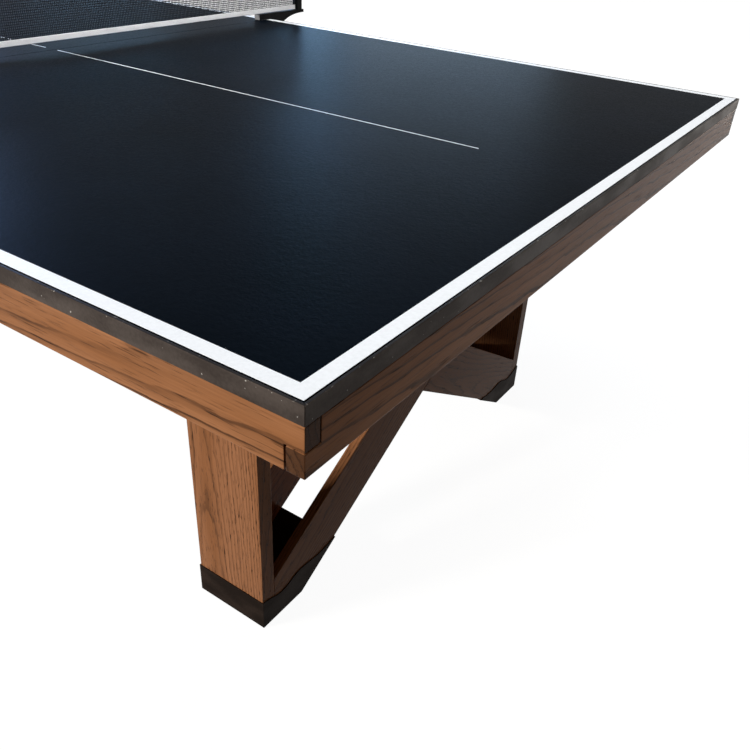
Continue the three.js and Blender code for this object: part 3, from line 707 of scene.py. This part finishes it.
def folded_tape(node, s, opens_down, seed):
    """
    A strip of cloth folded over the edge of the net: its section is straight up one side, half a circle
    over the fold and straight down the other. It is carried along the net, with slow seeded waves that
    grow towards the free edges, and a gentler one that pinches and opens them. Also gives the places on
    the cut strip, and the strip's width.
    """
    step, leg_rows, bend_rows = 4 * MM, 6, 9
    wave_height, pinch_height = mm(0.12, 0.08)
    # Metres along the tape for each radian of a wave
    wave_run, pinch_run = mm(30, 140), 45 * MM
    low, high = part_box(node)
    rng = np.random.default_rng(seed)
    half = (high.x - low.x) / 2 - s.cloth / 2
    straight = high.z - low.z - half - s.cloth / 2
    bend = np.linspace(0, math.pi, bend_rows)
    leg = np.linspace(0, straight, leg_rows, endpoint=False)
    x = np.concatenate([np.full(leg_rows, half), half * np.cos(bend), np.full(leg_rows, -half)])
    up = np.concatenate([leg, straight + half * np.sin(bend), leg[::-1]])
    across = np.concatenate([[0], np.cumsum(np.hypot(np.diff(x), np.diff(up)))])
    y = np.arange(low.y, high.y + step / 2, step).clip(low.y, high.y)
    share = (1 - up / up.max())[None]
    waves = np.zeros((len(y), 1))
    for _ in range(4):
        waves += rng.uniform(0.3, 1) * np.sin(y[:, None] / rng.uniform(*wave_run) + rng.uniform(0, 6))
    pinch = np.sin(y[:, None] / pinch_run + rng.uniform(0, 6)) * np.sign(x) * share
    shift = wave_height * waves * share + pinch_height * pinch
    height = low.z + up if opens_down else high.z - up
    middle = (low.x + high.x) / 2
    places = np.stack([middle + x[None] + shift, y[:, None] + 0 * shift, height[None] + 0 * shift], -1)
    cut = np.stack([(y - low.y)[:, None] + 0 * shift, across[None] + 0 * shift], -1)
    return places[None], cut, across[-1]


def thumbscrew(node, joint, s, first_lobe):
    """
    A knob, its neck and a threaded spindle in one turned surface round the joint's axis. The radius of
    each row is that of the outline, less half the wave times one less the cosine of the lobes on the knob,
    less the thread's depth times a triangle wave of height over pitch less the share of a turn.
    """
    # Run_out is the share of a turn in which the thread fades at either end
    columns, rows_per_turn, run_out = 60, 8, 0.75
    low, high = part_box(node)
    axis = Vector(next(j["pos_m"] for j in frame["joints"] if j["name"] == joint))
    bend = np.linspace(-math.pi / 2, 0, 7)
    swell = s.knob_radius - s.knob_rim + s.knob_rim * np.cos(bend)
    knob_top = low.z + s.knob_height
    neck_top = knob_top + s.hub_height
    shoulder = high.z - s.tip_length
    steps = np.arange(neck_top, shoulder, s.pitch / rows_per_turn)
    depth = np.minimum(1, np.minimum(steps - neck_top, shoulder - steps) / (run_out * s.pitch))
    hub, tip = [s.hub_radius] * 2, [s.tip_radius] * 2
    # Heights, radii, and shares of the knob's wave and of the thread, from the knob to the tip
    parts = (
        (low.z + s.knob_rim * (1 + np.sin(bend)), swell, 1, 0),
        (knob_top - s.knob_rim * (1 + np.sin(bend[::-1])), swell[::-1], 1, 0),
        ([knob_top, neck_top - MM, neck_top], [*hub, s.hub_radius - MM], 0, 0),
        (steps, s.screw_radius, 0, depth),
        ([shoulder, shoulder, high.z - s.chamfer, high.z], [s.screw_radius, *tip, tip[0] - s.chamfer], 0, 0),
    )
    rows = [np.stack(np.broadcast_arrays(*part)) for part in parts]
    z, r, lobed, cut = np.concatenate(rows, 1)[..., None]
    turn = np.linspace(0, 2 * math.pi, columns, endpoint=False)[None]
    wave = s.knob_wave / 2 * (1 - np.cos(s.knob_lobes * (turn - first_lobe)))
    saw = (z / s.pitch - turn / (2 * math.pi)) % 1
    radius = r - lobed * wave - cut * s.thread_depth * (1 - np.abs(2 * saw - 1))
    places = [axis.x + radius * np.cos(turn), axis.y + radius * np.sin(turn), z + 0 * turn]
    return np.stack(places, -1)[None]


class TableTask:
    """What all the tasks share."""

    bl_options = {"REGISTER", "UNDO"}


class TABLE_OT_studio(TableTask, bpy.types.Operator):
    """Set the floor, the sky, the lamps and the camera"""

    bl_idname = "table.studio"
    bl_label = "Studio"

    def execute(self, context):
        s = context.scene.table_studio
        columns, shares = 96, (0, 0.02, 0.1, 0.3, 1)
        turn = np.linspace(0, 2 * math.pi, columns, endpoint=False)
        rings = np.array(shares)[:, None] * s.floor_radius
        disc = np.stack([rings * np.cos(turn), rings * np.sin(turn), 0 * rings * turn], -1)
        floor = surface("studio_floor", disc[None, ::-1], around=True)
        floor.data.materials.append(self.floor_finish(s))
        self.sky(context, s)
        for lamp in LAMPS:
            self.hang(context, *lamp)
        self.stand_camera(context)
        return {"FINISHED"}

    def floor_finish(self, s):
        """A pale floor, white to the camera and in reflections where no shadow lies, clear from below."""
        made = bpy.data.materials.new("studio_floor")
        tree = fresh_tree(made)
        place = add(tree, "TexCoord", out="Object")
        distance = add(tree, "VectorMath", {0: place}, out="Value", operation="LENGTH")
        far = {0: distance, 1: s.white_from, 2: s.white_at, 3: s.glow, 4: 1.0}
        glow = add(tree, "MapRange", far, interpolation_type="SMOOTHSTEP")
        strength = add(tree, "Math", {0: seen_ray(tree), 1: glow}, operation="MULTIPLY")
        shades = grains(tree, place, mm(500))
        colour = add(tree, "Mix", {0: shades, 6: full(s.floor, 0.94), 7: full(s.floor)}, **BLEND)
        matt = add(tree, "BsdfDiffuse", {"Color": colour})
        light = add(tree, "Emission", {"Strength": strength})
        top = add(tree, "AddShader", {0: matt, 1: light})
        under = add(tree, "NewGeometry", out="Backfacing")
        both = add(tree, "MixShader", {0: under, 1: top, 2: add(tree, "BsdfTransparent")})
        add(tree, "OutputMaterial", {"Surface": both})
        return made

    def sky(self, context, s):
        """White to the camera and in reflections, and a weak even light to everything else."""
        world = context.scene.world or bpy.data.worlds.new("sky")
        context.scene.world = world
        tree = fresh_tree(world)
        lit = add(tree, "Background", {"Color": full(s.sky_colour), "Strength": s.sky})
        white = add(tree, "Background", {"Color": (1, 1, 1, 1), "Strength": 1.0})
        add(tree, "OutputWorld", {"Surface": add(tree, "MixShader", {0: seen_ray(tree), 1: lit, 2: white})})
        context.scene.view_settings.view_transform = "Standard"

    def hang(self, context, name, place, target, size, watts, code):
        """Hangs a soft lamp at a place and aims it."""
        data = bpy.data.lights.new(name, "AREA")
        data.shape = "RECTANGLE"
        data.size, data.size_y = size
        data.energy = watts
        data.color = linear(code)
        lamp = bpy.data.objects.new(name, data)
        context.scene.collection.objects.link(lamp)
        aim = (Vector(target) - Vector(place)).to_track_quat("-Z", "Y")
        lamp.matrix_world = Matrix.LocRotScale(Vector(place), aim, None)
        lamp.visible_camera = False

    def stand_camera(self, context):
        """A camera at the photograph's place, turned from +Y, tipped down and rolled."""
        azimuth, elevation, roll = (math.radians(a) for a in CAMERA_TURN)
        level = math.cos(elevation)
        forward = Vector((-math.sin(azimuth) * level, math.cos(azimuth) * level, -math.sin(elevation)))
        right = forward.cross(Vector((0, 0, 1))).normalized()
        up = right.cross(forward)
        x = right * math.cos(roll) + up * math.sin(roll)
        y = up * math.cos(roll) - right * math.sin(roll)
        data = bpy.data.cameras.new("camera")
        data.lens, data.sensor_width = CAMERA_LENS, CAMERA_FILM
        camera = bpy.data.objects.new("camera", data)
        turned = Matrix((x, y, -forward)).transposed().to_4x4()
        camera.matrix_world = Matrix.Translation(CAMERA_PLACE) @ turned
        context.scene.collection.objects.link(camera)
        context.scene.camera = camera


class TABLE_OT_playing_surface(TableTask, bpy.types.Operator):
    """Coat the two boards and paint their white lines"""

    bl_idname = "table.playing_surface"
    bl_label = "Playing surface"

    def execute(self, context):
        s = context.scene.table_top
        coating = finish_of("sprayed_coating", coated_board(s))
        enamel = matt_finish(s.line_paint, (1, 0.95), mm(4.5455), (0.45, 0.55))
        enamel = finish_of("line_enamel", enamel)
        for end, sign in ENDS.items():
            low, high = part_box("panel_" + end)
            dress(nodes["panel_" + end], coating)
            seam, outer = (low.x, high.x) if sign > 0 else (high.x, low.x)
            middle = s.border_line / 2
            edge = outer - sign * middle
            side = high.y - middle
            start = s.centre_start if sign > 0 else s.centre_far_start
            border = [(seam, -side), (edge, -side), (edge, side), (seam, side)]
            centre = [(sign * start, 0), (outer - sign * s.centre_stop, 0)]
            lines = (("border_line_", s.border_line, border), ("centre_line_", s.centre_line, centre))
            for name, width, path in lines:
                strip = mitred_strip(path, width, high.z - s.line_depth, high.z + s.line_height)
                line = surface(name + end, strip, around=True, capped=True, sharp=PAINT_SHARP)
                dress(line, enamel, "table")
        return {"FINISHED"}


class TABLE_OT_edge_bands(TableTask, bpy.types.Operator):
    """Finish the steel bands round the top"""

    bl_idname = "table.edge_bands"
    bl_label = "Edge bands"

    def execute(self, context):
        s = context.scene.table_metal
        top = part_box("band_side_left")[1].z
        steel = finish_of("patinated_steel", patina(s.band, s.band_deep, s.bare, 0.03, top))
        names = (*("band_side_" + side for side in SIDES), *("band_end_" + end for end in ENDS))
        finish_nodes(names, steel, s.arris)
        return {"FINISHED"}


def stained_oak(s, node, along, face, seed, pith, sway, long=True):
    """
    Stained oak for one board: wide rings with strong veins on the long boards, and close rings with faint
    veins on the posts and braces. The pith lies beside and behind the middle, and the rings sway sideways
    and inwards.
    """
    if long:
        shades, ring, vein = (s.light, s.warm), s.ring, 0.66
        pores = (s.long_pore_spacing, s.long_pore_length)
    else:
        shades, ring, vein = (s.post_light, s.post_warm), s.fine_ring, 0.3
        pores = (s.pore_spacing, s.pore_length)
    colours = (*shades, s.ring_dark, s.pore)
    wood = ring_porous(node, along, face, seed, colours, ring, pores, pith, sway, vein)
    finish_nodes([node], finish_of("stained_oak_" + node, wood), s.arris)


class TABLE_OT_aprons(TableTask, bpy.types.Operator):
    """Finish the boards round the top's underside"""

    bl_idname = "table.aprons"
    bl_label = "Aprons"

    def execute(self, context):
        s = context.scene.table_wood
        sway = mm(20, 16)
        for seed, (side, sign) in enumerate(SIDES.items(), BOARD_SEEDS["side"]):
            stained_oak(s, "apron_side_" + side, (1, 0, 0), (0, sign, 0), seed, mm(34, 42), sway)
        for seed, (end, sign) in enumerate(ENDS.items(), BOARD_SEEDS["end"]):
            stained_oak(s, "apron_end_" + end, (0, 1, 0), (sign, 0, 0), seed, mm(-30, 40), sway)
        return {"FINISHED"}


class TABLE_OT_under_frame(TableTask, bpy.types.Operator):
    """Finish the plain frame under the top"""

    bl_idname = "table.under_frame"
    bl_label = "Under-frame"

    def execute(self, context):
        s = context.scene.table_wood
        colours = (s.plain, s.plain, s.plain_dark, s.plain_dark)
        pores = (s.pore_spacing, s.pore_length)
        pith, sway, vein, end_grain = mm(20, 60), mm(30, 30), 0.3, 0.4
        bearers = [f"bearer_{end}_{place}" for end in ENDS for place in ("outer", "inner")]
        corners = [f"{end}_{side}" for end in ENDS for side in SIDES]
        ways = (
            ("lengthwise", (1, 0, 0), (0, 0, 1), ["stringer_" + corner for corner in corners]),
            ("crosswise", (0, 1, 0), (0, 0, 1), ["seam_rail", *bearers]),
            ("upright", (0, 0, 1), (1, 0, 0), ["corner_block_" + corner for corner in corners]),
        )
        for seed, (way, along, face, names) in enumerate(ways, BOARD_SEEDS["plain"]):
            board = (names[0], along, face, seed, colours, s.fine_ring)
            wood = ring_porous(*board, pores, pith, sway, vein, end_grain)
            finish_nodes(names, finish_of("planed_softwood_" + way, wood), s.arris)
        return {"FINISHED"}


class TABLE_OT_leg_frames(TableTask, bpy.types.Operator):
    """Finish the caps, posts and crossed braces of the two leg frames"""

    bl_idname = "table.leg_frames"
    bl_label = "Leg frames"

    def execute(self, context):
        s = context.scene.table_wood
        seed = BOARD_SEEDS["leg"]
        for end, away in ENDS.items():
            stained_oak(s, "cap_" + end, (0, 1, 0), (0, 0, 1), seed, mm(50, 40), mm(30, 30))
            for side, sign in SIDES.items():
                seed += 1
                board = (f"post_{end}_{side}", (0, 0, 1), (0, sign, 0), seed)
                stained_oak(s, *board, mm(-55 * sign * away, 30), mm(20, 20), long=False)
            for layer, outward in (("outer", 1), ("inner", -1)):
                for way, climb in (("through", 1), ("crossed", -1)):
                    seed += 1
                    along, face = (0, climb * away, BRACE_SLOPE), (away * outward, 0, 0)
                    board = (f"brace_{end}_{layer}_{way}", along, face, seed)
                    stained_oak(s, *board, mm(45, 50), mm(30, 30), long=False)
        return {"FINISHED"}


class TABLE_OT_shoes(TableTask, bpy.types.Operator):
    """Finish the sheet metal shoes"""

    bl_idname = "table.shoes"
    bl_label = "Shoes"

    def execute(self, context):
        s = context.scene.table_metal
        bronze = finish_of("bronzed_sheet_steel", patina(s.shoe, s.shoe_deep, s.shoe, 0.01))
        finish_nodes([f"shoe_{end}_{side}" for end in ENDS for side in SIDES], bronze, s.arris)
        return {"FINISHED"}


class TABLE_OT_net(TableTask, bpy.types.Operator):
    """Knot the net"""

    bl_idname = "table.net"
    bl_label = "Net"

    def execute(self, context):
        s = context.scene.table_net
        net = surface("knotted_net", *thread_net(s), around=True, capped=True)
        twine = matt_finish(s.mesh_colour, (0.7, 1), mm(1.1111), (0.8, 0.95), specular=0.15, relief=0.15)
        dress(net, finish_of("net_twine", twine), "table", ["net_mesh"])
        return {"FINISHED"}


class TABLE_OT_net_tapes(TableTask, bpy.types.Operator):
    """Fold and sew the tapes at the net's top and bottom"""

    bl_idname = "table.net_tapes"
    bl_label = "Net tapes"

    def execute(self, context):
        s = context.scene.table_net
        for place, seed in TAPE_SEEDS.items():
            node = "net_tape_" + place
            cloth, cut, width = folded_tape(node, s, place == "top", seed)
            tape = surface(place + "_tape", cloth, uv=cut)
            wall = tape.modifiers.new("Cloth", "SOLIDIFY")
            wall.thickness = s.cloth
            wall.offset = 0
            dress(tape, finish_of(place + "_woven_tape", woven_tape(s, width)), "table", [node])
        return {"FINISHED"}


class TABLE_OT_net_posts(TableTask, bpy.types.Operator):
    """Finish the net posts and their caps"""

    bl_idname = "table.net_posts"
    bl_label = "Net posts"

    def execute(self, context):
        s = context.scene.table_metal
        coat = finish_of("black_powder_coat", powder_coat(s.black))
        moulded = matt_finish(s.rubber, (1, 2.4), mm(6.25), (0.75, 0.9))
        finish_nodes(["net_post_" + side for side in SIDES], coat, s.arris)
        finish_nodes(["post_cap_" + side for side in SIDES], finish_of("moulded_rubber", moulded), s.arris)
        return {"FINISHED"}


class TABLE_OT_clamps(TableTask, bpy.types.Operator):
    """Finish the clamps and lay their felts"""

    bl_idname = "table.clamps"
    bl_label = "Clamps"

    def execute(self, context):
        s = context.scene.table_metal
        rows, columns, roundness = 17, 48, 0.22
        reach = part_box("clamp_frame_right")[0].y
        coat = finish_of("black_powder_coat_clamp", powder_coat(s.black, s.cut_end, reach))
        plain = finish_of("black_powder_coat_pad", powder_coat(s.black))
        look = {"specular": 0.1, "relief": 0.15, "sheen": 0.3}
        sizes = mm(0.6667, 1.4286, 0.6667)
        fibres = matt_finish(context.scene.table_clamp.felt, (0.6, 1.8), sizes, (0.9, 1), **look)
        fibres = finish_of("pressed_felt", fibres)
        finish_nodes(["clamp_frame_" + side for side in SIDES], coat, s.arris)
        finish_nodes(["clamp_pad_" + side for side in SIDES], plain, s.arris)
        for side in SIDES:
            low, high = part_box("clamp_felt_" + side)
            form = pillow(low, high, rows, columns, roundness)
            pad = surface("felt_pad_" + side, form, around=True, capped=True)
            dress(pad, fibres, "table", ["clamp_felt_" + side])
        return {"FINISHED"}


class TABLE_OT_thumbscrews(TableTask, bpy.types.Operator):
    """Cut the clamps' threaded screws"""

    bl_idname = "table.thumbscrews"
    bl_label = "Thumbscrews"

    def execute(self, context):
        s = context.scene.table_clamp
        steel = finish_of("oiled_steel", oiled_steel(context.scene.table_metal.black))
        for side in SIDES:
            node = "clamp_screw_" + side
            first_lobe = math.pi if side == "left" else 0
            turned = thumbscrew(node, f"screw_{side}_turn", s, first_lobe)
            screw = surface("thumbscrew_" + side, turned, around=True, capped=True, sharp=SCREW_SHARP)
            dress(screw, steel, "screw_" + side, [node])
        return {"FINISHED"}


TASKS = (
    TABLE_OT_studio,
    TABLE_OT_playing_surface,
    TABLE_OT_edge_bands,
    TABLE_OT_aprons,
    TABLE_OT_under_frame,
    TABLE_OT_leg_frames,
    TABLE_OT_shoes,
    TABLE_OT_net_tapes,
    TABLE_OT_net,
    TABLE_OT_net_posts,
    TABLE_OT_clamps,
    TABLE_OT_thumbscrews,
)
SETTINGS = {
    "table_top": TopSettings,
    "table_wood": WoodSettings,
    "table_metal": MetalSettings,
    "table_net": NetSettings,
    "table_clamp": ClampSettings,
    "table_studio": StudioSettings,
}


class TABLE_PT_tasks(bpy.types.Panel):
    """Tasks and settings of the table"""

    bl_label = "Table tennis table"
    bl_space_type = "VIEW_3D"
    bl_region_type = "UI"
    bl_category = "Table"

    def draw(self, context):
        for task in TASKS:
            self.layout.operator(task.bl_idname)
        for group, kind in SETTINGS.items():
            box = self.layout.box()
            box.label(text=kind.__doc__)
            for name in kind.__annotations__:
                box.prop(getattr(context.scene, group), name)


def register():
    for kind in (*SETTINGS.values(), *TASKS, TABLE_PT_tasks):
        bpy.utils.register_class(kind)
    for group, kind in SETTINGS.items():
        setattr(bpy.types.Scene, group, PointerProperty(type=kind))


def unregister():
    for group in SETTINGS:
        delattr(bpy.types.Scene, group)
    for kind in (*SETTINGS.values(), *TASKS, TABLE_PT_tasks):
        bpy.utils.unregister_class(kind)


def main():
    """Registers the add-on and does every task in order."""
    register()
    for task in TASKS:
        getattr(bpy.ops.table, task.bl_idname.split(".")[1])()


if __name__ == "__main__":
    main()
